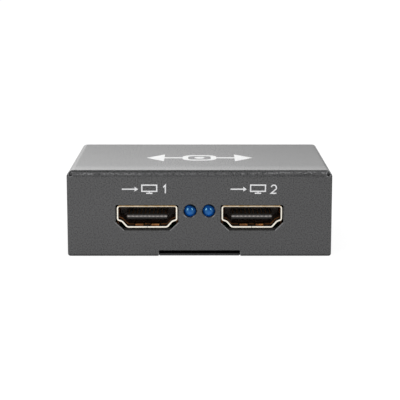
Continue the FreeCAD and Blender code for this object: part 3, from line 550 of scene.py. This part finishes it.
class PrintSettings(bpy.types.PropertyGroup):
    """Sizes, places and colours of the printed marks"""
    label_height: bpy.props.FloatProperty(
        name="Label height", description="Height of an output's mark, in millimetres", default=2.3)
    label_width: bpy.props.FloatProperty(
        name="Label width", description="Width of an output's mark, in millimetres", default=11.2)
    label_place: bpy.props.FloatProperty(
        name="Label place", description="Distance of a mark's middle from the case's middle, in millimetres",
        default=13.1)
    label_middle: bpy.props.FloatProperty(
        name="Label middle", description="Height of the marks' middle over the table, in millimetres",
        default=16.5)
    label_stroke: bpy.props.FloatProperty(
        name="Label stroke", description="Width of a label's lines, in millimetres", default=0.30)
    label_ink: bpy.props.FloatVectorProperty(
        name="Label ink", description="Colour of the labels", subtype="COLOR", default=(0.62, 0.62, 0.63))
    power_mark_middle: bpy.props.FloatProperty(
        name="Power mark middle", description="Height of the power mark's middle, in millimetres",
        default=6.0)
    top_width: bpy.props.FloatProperty(
        name="Top print width", description="Width of the mark on top, in millimetres", default=27.0)
    top_depth: bpy.props.FloatProperty(
        name="Top print depth", description="Depth of the mark on top, in millimetres", default=11.0)
    top_middle: bpy.props.FloatProperty(
        name="Top print middle", description="The mark's middle from the case's middle, in millimetres",
        default=-2.5)
    top_stroke: bpy.props.FloatProperty(
        name="Top print stroke", description="Width of the mark's lines, in millimetres", default=1.45)
    top_ink: bpy.props.FloatVectorProperty(
        name="Top ink", description="Colour of the mark on top", subtype="COLOR", default=(0.90, 0.90, 0.90))
    ink_thickness: bpy.props.FloatProperty(
        name="Ink thickness", description="Thickness of the printed ink, in millimetres", default=0.02)


class FinishSettings(bpy.types.PropertyGroup):
    """Colours of the paint, plating, mouldings, lenses and board"""
    paint: bpy.props.FloatVectorProperty(
        name="Case paint", description="Colour of the cover's paint", subtype="COLOR",
        default=(0.051, 0.051, 0.052))
    base_paint: bpy.props.FloatVectorProperty(
        name="Base paint", description="Colour of the base plate's paint", subtype="COLOR",
        default=(0.013, 0.013, 0.014))
    rim: bpy.props.FloatVectorProperty(
        name="Socket rim", description="Plating at a socket's mouth", subtype="COLOR",
        default=(0.95, 0.90, 0.79))
    shaded_rim: bpy.props.FloatVectorProperty(
        name="Shaded rim", description="Plating of the mouth's upper edge", subtype="COLOR",
        default=(0.44, 0.29, 0.13))
    # Lit copper is painted light just inside a socket, and the socket inside is painted shade deeper in.
    copper: bpy.props.FloatVectorProperty(
        name="Lit copper", description="Plating just inside a socket's mouth", subtype="COLOR",
        default=(0.95, 0.42, 0.14))
    inside: bpy.props.FloatVectorProperty(
        name="Socket inside", description="Plating deep inside a socket", subtype="COLOR",
        default=(0.25, 0.125, 0.065))
    insulation: bpy.props.FloatVectorProperty(
        name="Socket insulation", description="Moulding inside a socket", subtype="COLOR",
        default=(0.030, 0.027, 0.025))
    # The colour of the painted highlight along the front of a socket's tongue.
    tongue_nose: bpy.props.FloatVectorProperty(
        name="Tongue nose", description="Worn front of a socket's tongue", subtype="COLOR",
        default=(0.31, 0.285, 0.27))
    lens_middle: bpy.props.FloatVectorProperty(
        name="Lens middle", description="Blue of a lamp's lens at its middle", subtype="COLOR",
        default=(0.001, 0.053, 0.25))
    lens_rim: bpy.props.FloatVectorProperty(
        name="Lens rim", description="Blue of a lamp's lens at its edge", subtype="COLOR",
        default=(0.0, 0.05, 0.2))
    mask: bpy.props.FloatVectorProperty(
        name="Solder mask", description="Colour of the circuit board", subtype="COLOR",
        default=(0.008, 0.10, 0.035))
    track_level: bpy.props.FloatProperty(
        name="Track level", description="How much lighter the mask is over copper tracks", default=1.7)
    # Also used as painted shade on the board's strips along its front and rear edges.
    laminate: bpy.props.FloatVectorProperty(
        name="Laminate", description="Colour of the circuit board's bare edges", subtype="COLOR",
        default=(0.008, 0.007, 0.005))


class StageSettings(bpy.types.PropertyGroup):
    """Camera, floor, softboxes and room"""
    camera_place: bpy.props.FloatVectorProperty(
        name="Camera place", description="Where the camera stands", subtype="TRANSLATION", unit="LENGTH",
        default=(-0.00005, -0.33641, 0.07344))
    camera_pitch: bpy.props.FloatProperty(
        name="Camera pitch", description="How far the camera looks down", subtype="ANGLE",
        default=math.radians(10.749))
    camera_yaw: bpy.props.FloatProperty(
        name="Camera yaw", description="How far the camera looks to the right", subtype="ANGLE",
        default=math.radians(0.033))
    camera_lens: bpy.props.FloatProperty(
        name="Camera lens", description="Focal length in millimetres on a sensor 36 mm wide",
        unit="CAMERA", default=119.18)
    floor_reach: bpy.props.FloatProperty(
        name="Floor reach", description="Half the floor's side", unit="LENGTH", default=4.0)
    floor_light: bpy.props.FloatProperty(
        name="Floor light", description="Glow of the floor as camera, gloss and glass see it", default=0.84)
    floor_fade: bpy.props.FloatProperty(
        name="Floor fade", description="How much darker gloss sees the floor at the right", default=0.2)
    left_azimuth: bpy.props.FloatProperty(
        name="Left azimuth", description="How far the left softbox stands to its side of the front",
        subtype="ANGLE", default=math.radians(36))
    right_azimuth: bpy.props.FloatProperty(
        name="Right azimuth", description="How far the right softbox stands to its side of the front",
        subtype="ANGLE", default=math.radians(27))
    left_distance: bpy.props.FloatProperty(
        name="Left distance", description="How far the left softbox stands from the part's origin",
        unit="LENGTH", default=0.38)
    right_distance: bpy.props.FloatProperty(
        name="Right distance", description="How far the right softbox stands from the part's origin",
        unit="LENGTH", default=0.8)
    left_size: bpy.props.FloatVectorProperty(
        name="Left size", description="Width and height of the left softbox", size=2, unit="LENGTH",
        default=(0.13, 0.18))
    right_size: bpy.props.FloatVectorProperty(
        name="Right size", description="Width and height of the right softbox", size=2, unit="LENGTH",
        default=(0.20, 0.40))
    lamp_elevation: bpy.props.FloatProperty(
        name="Lamp elevation", description="How high the middle of each softbox stands", subtype="ANGLE",
        default=math.radians(14))
    lamp_roll: bpy.props.FloatProperty(
        name="Lamp roll", description="How far each softbox leans over", subtype="ANGLE",
        default=math.radians(25))
    left_brightness: bpy.props.FloatProperty(
        name="Left brightness", description="Radiance of the left softbox, 1 being white", default=6.8)
    right_brightness: bpy.props.FloatProperty(
        name="Right brightness", description="Radiance of the right softbox, 1 being white", default=6.4)
    room_light: bpy.props.FloatProperty(
        name="Room light", description="Level of the even light that falls on matt surfaces", default=0.73)
    low_backdrop_light: bpy.props.FloatProperty(
        name="Low backdrop light", description="What gloss sees at the backdrop's foot, 1 being white",
        default=0.2)
    backdrop_light: bpy.props.FloatProperty(
        name="Backdrop light", description="What the backdrop gains higher up, 1 being white", default=2.22)
    high_backdrop_light: bpy.props.FloatProperty(
        name="High backdrop light", description="What the backdrop gains again at its head, 1 being white",
        default=1.2)
    dark_side: bpy.props.FloatProperty(
        name="Dark side", description="What gloss sees of the room in front and overhead, 1 being white",
        default=0.2)


class FinishCase(bpy.types.Operator):
    """Paint on the cover and the base plate, metal on the brackets, screws and standoffs"""
    bl_idname = "splitter.finish_case"
    bl_label = "Finish the case"

    def execute(self, context):
        colours = context.scene.splitter_finish
        dress(case_paint(tuple(colours.paint)), "cover")
        dress(case_paint(tuple(colours.base_paint), "base_paint", folded=False), "base_plate")
        dress(metal("zinc_plate", (0.62, 0.63, 0.65), roughness=0.34, grain=0.8), "cover_brackets")
        dress(metal("screw_nickel", (0.50, 0.49, 0.47), roughness=0.3, grain=0.2),
              "case_screws", "board_screws")
        dress(metal("turned_steel", (0.60, 0.60, 0.60), roughness=0.3, grain=0.15, stretch=(0.3, 0.3, 4.0)),
              "board_standoffs")
        return {"FINISHED"}


class FinishSockets(bpy.types.Operator):
    """Plating, insulation and contacts of the three video sockets"""
    bl_idname = "splitter.finish_sockets"
    bl_label = "Finish the video sockets"

    def execute(self, context):
        colours = context.scene.splitter_finish
        sockets = ("output_1", "output_2", "input")
        plating = socket_plating_and_painted_light(tuple(colours.rim), tuple(colours.shaded_rim),
                                 tuple(colours.copper), tuple(colours.inside))
        insulation = socket_insulation(tuple(colours.insulation), tuple(colours.tongue_nose))
        gold = metal("contact_gold", (0.58, 0.33, 0.12), roughness=0.3, grain=0.2)
        dress(plating, *[name + "_shell" for name in sockets])
        dress(insulation, *[name + "_insulator" for name in sockets])
        dress(gold, *[name + "_contacts" for name in sockets])
        return {"FINISHED"}


class FinishPowerSocket(bpy.types.Operator):
    """Housing, pin and spring of the power socket"""
    bl_idname = "splitter.finish_power_socket"
    bl_label = "Finish the power socket"

    def execute(self, context):
        dress(moulding("socket_housing", (0.018, 0.018, 0.019), roughness=0.4), "power_socket_housing")
        dress(metal("pin_nickel", (0.78, 0.76, 0.72), roughness=0.18, grain=0.15), "power_socket_pin")
        dress(metal("spring_strip", (0.70, 0.66, 0.58), roughness=0.26, grain=0.2, stretch=(1.0, 0.2, 1.0)),
              "power_socket_spring")
        return {"FINISHED"}


class FinishLamps(bpy.types.Operator):
    """Blue lenses and tinned leads of the two status lamps"""
    bl_idname = "splitter.finish_lamps"
    bl_label = "Finish the lamps"

    def execute(self, context):
        colours = context.scene.splitter_finish
        resin = lens_resin(tuple(colours.lens_middle), tuple(colours.lens_rim), LAMP_HALF)
        dress(resin, "lamp_1_lens", "lamp_2_lens")
        dress(metal("lamp_leads", (0.70, 0.70, 0.69), roughness=0.3), "lamp_1_leads", "lamp_2_leads")
        return {"FINISHED"}


class FinishBoard(bpy.types.Operator):
    """Circuit board and everything that is soldered on it"""
    bl_idname = "splitter.finish_board"
    bl_label = "Finish the circuit board"

    def execute(self, context):
        colours = context.scene.splitter_finish
        mask = tuple(colours.mask)
        track = tuple(level * colours.track_level for level in mask)
        dress(board_mask(mask, track, tuple(colours.laminate)), "circuit_board")
        dress(moulding("chip_compound", (0.016, 0.016, 0.017), roughness=0.5, grain=0.08),
              "splitter_chip", "memory_chip", "voltage_regulator", "surge_protectors")
        dress(metal("matt_tin", (0.66, 0.66, 0.65), roughness=0.38, grain=0.15),
              "splitter_chip_leads", "memory_chip_leads", "voltage_regulator_leads",
              "crystal_feet", "chip_end_caps")
        dress(moulding("ferrite_grain", (0.055, 0.055, 0.058), roughness=0.6, grain=0.1),
              "power_inductor", "inductor_core")
        dress(metal("crystal_nickel", (0.70, 0.69, 0.66), roughness=0.2, grain=0.4), "crystal_can")
        dress(metal("drawn_aluminium", (0.80, 0.80, 0.80), roughness=0.24, grain=0.15,
                    stretch=(0.3, 0.3, 3.0)), "capacitor_cans")
        dress(moulding("capacitor_base_moulding", (0.015, 0.015, 0.016), roughness=0.45), "capacitor_bases")
        dress(moulding("tan_ceramic", (0.34, 0.22, 0.12), roughness=0.45, grain=0.1), "chip_capacitors")
        dress(moulding("black_ceramic", (0.02, 0.02, 0.022), roughness=0.35, grain=0.1), "chip_resistors")
        return {"FINISHED"}


class AddOutputLabels(bpy.types.Operator):
    """An arrow, a screen and a numeral over each output"""
    bl_idname = "splitter.add_output_labels"
    bl_label = "Print the output labels"

    def execute(self, context):
        settings = context.scene.splitter_print
        ink = print_ink("label_ink", tuple(settings.label_ink))
        half_wide = settings.label_width / 2
        half_tall = settings.label_height / 2
        line = settings.label_stroke
        for number, side in ((1, -1), (2, 1)):
            sheet = InkSheet(settings.ink_thickness)
            self.arrow(sheet, half_wide, half_tall, line)
            self.screen(sheet, half_wide, half_tall, line)
            self.numeral(sheet, half_wide, half_tall, line, number)
            place = Matrix.Translation((side * settings.label_place, CASE_FRONT, settings.label_middle))
            mesh = sheet.mesh("output_label_%d" % number, place @ STOOD_UP)
            keep("output_label_%d" % number, mesh, ink)
        return {"FINISHED"}

    def arrow(self, sheet, half_wide, half_tall, line):
        tip = half_wide * -0.30
        neck = tip - half_tall * 0.75
        barb = half_tall * 0.5
        sheet.stroke([(-half_wide, 0), (neck, 0)], line)
        sheet.patch([(neck, barb), (neck, -barb), (tip, 0)])

    def screen(self, sheet, half_wide, half_tall, line):
        """A frame on a short stem and a foot."""
        left, right = half_wide * -0.14, half_wide * 0.50
        low, high = half_tall * -0.45, half_tall - line / 2
        middle = (left + right) / 2
        foot = half_tall * 0.65
        sheet.stroke([(left, low), (right, low), (right, high), (left, high)], line, closed=True)
        sheet.stroke([(middle, low - line / 2), (middle, -high + line / 2)], line)
        sheet.stroke([(middle - foot, -high), (middle + foot, -high)], line)

    def numeral(self, sheet, half_wide, half_tall, line, number):
        end = half_tall - line / 2
        wide = half_tall * 0.55
        centre = half_wide - wide - line / 2
        if number == 1:
            points = [(-wide * 0.7, end * 0.45), (wide * 0.1, end), (wide * 0.1, -end)]
        else:
            bow = arc_points((0, end - wide), wide, 165, -35, 9)
            points = [*bow, (-wide, -end), (wide, -end)]
        sheet.stroke([(centre + u, v) for u, v in points], line)


class AddTopPrint(bpy.types.Operator):
    """A box in the middle with an arrow out of either side"""
    bl_idname = "splitter.add_top_print"
    bl_label = "Print the mark on top"

    def execute(self, context):
        settings = context.scene.splitter_print
        sheet = InkSheet(settings.ink_thickness)
        half = settings.top_width / 2
        deep = settings.top_depth / 2
        line = settings.top_stroke
        box = half * 0.32
        neck = half * 0.66
        sheet.stroke(round_corners(box - line / 2, box - line / 2, box * 0.5), line, closed=True)
        sheet.patch(disc_points(box * 0.3, 24))
        for side in (-1, 1):
            sheet.stroke([(side * box, 0), (side * neck, 0)], line)
            sheet.patch([(side * neck, deep), (side * neck, -deep), (side * half, 0)])
        place = Matrix.Translation((0, settings.top_middle, CASE_TOP))
        mesh = sheet.mesh("top_print", place)
        keep("top_print", mesh, print_ink("top_ink", tuple(settings.top_ink)))
        return {"FINISHED"}


class AddRearMarks(bpy.types.Operator):
    """An arrow into a tray over the input and a plug's two poles under the power inlet"""
    bl_idname = "splitter.add_rear_marks"
    bl_label = "Print the rear marks"

    def execute(self, context):
        settings = context.scene.splitter_print
        ink = print_ink("rear_ink", tuple(settings.label_ink))
        marks = (("input_mark", self.tray, "input_shell", settings.label_middle),
                 ("power_mark", self.poles, "power_socket_pin", settings.power_mark_middle))
        for name, form, socket, height in marks:
            sheet = InkSheet(settings.ink_thickness)
            form(sheet, settings.label_stroke)
            low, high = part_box(socket)
            place = Matrix.Translation(((low.x + high.x) / 2 / MM, CASE_REAR, height))
            keep(name, sheet.mesh(name, place @ TURNED_ROUND), ink)
        return {"FINISHED"}

    def tray(self, sheet, line):
        half, deep = 1.7, 1.1
        tail, neck, head = 1.3, 0.2, 0.65
        sheet.stroke([(-half, 0), (-half, -deep), (half, -deep), (half, 0)], line)
        sheet.stroke([(0, tail), (0, neck)], line)
        sheet.patch([(-head, neck), (head, neck), (0, -head)])

    def poles(self, sheet, line):
        """Rings with a minus and a plus, joined to a bow and to the dot inside it."""
        spread, ring, sign = 3.6, 0.85, 0.4
        bow, dot = 1.05, 0.4
        for centre in (-spread, spread):
            outline = [(centre + u, v) for u, v in round_corners(ring, ring, ring)]
            sheet.stroke(outline, line, closed=True)
            sheet.stroke([(centre - sign, 0), (centre + sign, 0)], line)
        for side in (-1, 1):
            sheet.stroke([(spread, side * line / 2), (spread, side * sign)], line)
        sheet.stroke(arc_points((0, 0), bow, 50, 310, 24), line)
        sheet.stroke([(-spread + ring + line / 2, 0), (-bow - line / 2, 0)], line)
        sheet.patch(disc_points(dot, 20))
        sheet.stroke([(dot, 0), (spread - ring - line / 2, 0)], line)


class SetStage(bpy.types.Operator):
    """Floor, room, softboxes and camera"""
    bl_idname = "splitter.set_stage"
    bl_label = "Set the stage"

    def execute(self, context):
        settings = context.scene.splitter_stage
        self.floor(context.scene, settings)
        self.room(context.scene, settings)
        self.softbox("left_softbox", settings, -settings.left_azimuth, settings.left_distance,
                     settings.left_size, settings.left_brightness)
        self.softbox("right_softbox", settings, settings.right_azimuth, settings.right_distance,
                     settings.right_size, settings.right_brightness)
        self.camera(context.scene, settings)
        context.scene.view_settings.view_transform = "Standard"
        return {"FINISHED"}

    def floor(self, scene, settings):
        reach = settings.floor_reach
        form = bmesh.new()
        corners = [(-reach, -reach), (reach, -reach), (reach, reach), (-reach, reach)]
        form.faces.new([form.verts.new((x, y, 0)) for x, y in corners])
        mesh = bpy.data.meshes.new("floor")
        form.to_mesh(mesh)
        form.free()
        mesh.materials.append(self.white_sweep(settings))
        floor = bpy.data.objects.new("floor", mesh)
        scene.collection.objects.link(floor)

    def white_sweep(self, settings):
        """Nearly white, but for the case's shadow, to camera, gloss and glass, and pale grey to the rest."""
        material = bpy.data.materials.new("white_sweep")
        material.use_nodes = True
        nodes = Nodes(material.node_tree)
        path = nodes.node("ShaderNodeLightPath")
        seen = Number(nodes, path.outputs["Is Camera Ray"]).larger(path.outputs["Is Glossy Ray"])
        seen = seen.larger(path.outputs["Is Transmission Ray"])
        plain = nodes.node("ShaderNodeBsdfDiffuse", None, {"Color": (0.75, 0.75, 0.75)})
        shadowed = nodes.node("ShaderNodeBsdfDiffuse", None, {"Color": (0.28, 0.28, 0.28)})
        place = nodes.node("ShaderNodeNewGeometry").outputs["Position"]
        split = nodes.node("ShaderNodeSeparateXYZ", None, {"Vector": place})
        half_fade = 0.06
        rightward = Number(nodes, split.outputs["X"]).ramp(-half_fade, half_fade)
        fade = rightward * path.outputs["Is Glossy Ray"] * settings.floor_fade
        glow = nodes.node("ShaderNodeEmission", None,
                          {"Color": (1.0, 1.0, 1.0), "Strength": settings.floor_light - fade})
        white = nodes.node("ShaderNodeAddShader", None, {0: shadowed.outputs[0], 1: glow.outputs[0]})
        both = nodes.node("ShaderNodeMixShader", None, {0: seen, 1: plain.outputs[0], 2: white.outputs[0]})
        nodes.node("ShaderNodeOutputMaterial", None, {"Surface": both.outputs[0]})
        return material

    def room(self, scene, settings):
        """White to camera and glass, even light on matt surfaces, and a studio in what gloss sees."""
        world = bpy.data.worlds.new("white_room")
        world.use_nodes = True
        scene.world = world
        nodes = Nodes(world.node_tree)
        way = nodes.node("ShaderNodeTexCoord").outputs["Generated"]
        split = nodes.node("ShaderNodeSeparateXYZ", None, {"Vector": way})
        across, forward, up = [Number(nodes, split.outputs[axis]) for axis in "XYZ"]
        gloss = self.studio(settings, across, forward, up)
        path = nodes.node("ShaderNodeLightPath")
        glossy = Number(nodes, path.outputs["Is Glossy Ray"])
        seen = Number(nodes, path.outputs["Is Camera Ray"]).larger(path.outputs["Is Transmission Ray"])
        level = seen + (1 - seen) * (glossy * gloss + (1 - glossy) * settings.room_light)
        sky = nodes.node("ShaderNodeBackground", None, {"Color": (1.0, 1.0, 1.0), "Strength": level})
        nodes.node("ShaderNodeOutputWorld", None, {"Surface": sky.outputs[0]})

    def studio(self, settings, across, forward, up):
        """What gloss sees along a unit vector: white at the sides, a backdrop behind the part that
        brightens upwards and fades to the right, and a dark room in front and overhead.
        """
        wings = abs(across).ramp(0.09, 0.16) * (0.5 - across * 1.2)
        middle = up.ramp(0.13, 0.36) * settings.backdrop_light
        head = up.ramp(0.4, 0.65) * settings.high_backdrop_light
        backdrop = middle + head + (settings.low_backdrop_light + wings)
        behind = forward.ramp(0.1, 0.5)
        gloss = 1 - behind + behind * backdrop
        gloss = gloss * (1.08 - across.ramp(-0.04, 0.12) * 0.26)
        dark = (-forward).ramp(0.2, 0.7).larger(up.ramp(0.65, 0.8))
        return gloss * (1 - dark) + dark * settings.dark_side

    def softbox(self, name, settings, azimuth, distance, size, brightness):
        """A lamp that the case takes no gloss from, and its twin that lights all but the case."""
        width, height = size
        lamp = bpy.data.lights.new(name, "AREA")
        lamp.shape = "RECTANGLE"
        lamp.size = width
        lamp.size_y = height
        lamp.energy = brightness * math.pi * width * height
        for ending, link_state in (("for_case", "INCLUDE"), ("for_fittings", "EXCLUDE")):
            stand = bpy.data.objects.new(name + "_" + ending, lamp)
            bpy.context.scene.collection.objects.link(stand)
            self.aim(stand, settings, azimuth, distance)
            case = bpy.data.collections.new(stand.name)
            case.objects.link(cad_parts["cover"])
            case.collection_objects[0].light_linking.link_state = link_state
            stand.light_linking.receiver_collection = case
            stand.visible_glossy = link_state == "EXCLUDE"

    def aim(self, stand, settings, azimuth, distance):
        """Stands a softbox off to one side, facing the part's origin and leaning over."""
        away = Vector((math.sin(azimuth) * math.cos(settings.lamp_elevation),
                       -math.cos(azimuth) * math.cos(settings.lamp_elevation),
                       math.sin(settings.lamp_elevation)))
        stand.location = away * distance
        lean = math.copysign(settings.lamp_roll, azimuth)
        facing = away.to_track_quat("Z", "Y").to_matrix() @ Matrix.Rotation(lean, 3, "Z")
        stand.rotation_euler = facing.to_euler()

    def camera(self, scene, settings):
        body = bpy.data.cameras.new("camera")
        body.lens = settings.camera_lens
        body.sensor_width = 36.0
        body.clip_start = 0.01
        camera = bpy.data.objects.new("camera", body)
        scene.collection.objects.link(camera)
        camera.location = settings.camera_place
        camera.rotation_euler = (math.radians(90) - settings.camera_pitch, 0, -settings.camera_yaw)
        scene.camera = camera


class SplitterPanel(bpy.types.Panel):
    """Lists the pieces of the splitter's finish and their settings"""
    bl_idname = "VIEW3D_PT_splitter"
    bl_label = "Video splitter"
    bl_space_type = "VIEW_3D"
    bl_region_type = "UI"
    bl_category = "Splitter"

    def draw(self, context):
        for operator in OPERATORS:
            self.layout.operator(operator.bl_idname)
        for name, group in GROUPS.items():
            for field in group.__annotations__:
                self.layout.prop(getattr(context.scene, name), field)


OPERATORS = (SetStage, FinishCase, FinishSockets, FinishPowerSocket, FinishLamps, FinishBoard,
             AddOutputLabels, AddTopPrint, AddRearMarks)
GROUPS = {"splitter_finish": FinishSettings, "splitter_print": PrintSettings,
          "splitter_stage": StageSettings}


def register():
    for name, group in GROUPS.items():
        bpy.utils.register_class(group)
        setattr(bpy.types.Scene, name, bpy.props.PointerProperty(type=group))
    for made in OPERATORS + (SplitterPanel,):
        bpy.utils.register_class(made)


def unregister():
    for made in (SplitterPanel,) + OPERATORS[::-1]:
        bpy.utils.unregister_class(made)
    for name, group in GROUPS.items():
        delattr(bpy.types.Scene, name)
        bpy.utils.unregister_class(group)


def main():
    register()
    bpy.ops.splitter.set_stage()
    bpy.ops.splitter.finish_case()
    bpy.ops.splitter.finish_sockets()
    bpy.ops.splitter.finish_power_socket()
    bpy.ops.splitter.finish_lamps()
    bpy.ops.splitter.finish_board()
    bpy.ops.splitter.add_output_labels()
    bpy.ops.splitter.add_top_print()
    bpy.ops.splitter.add_rear_marks()


if __name__ == "__main__":
    main()
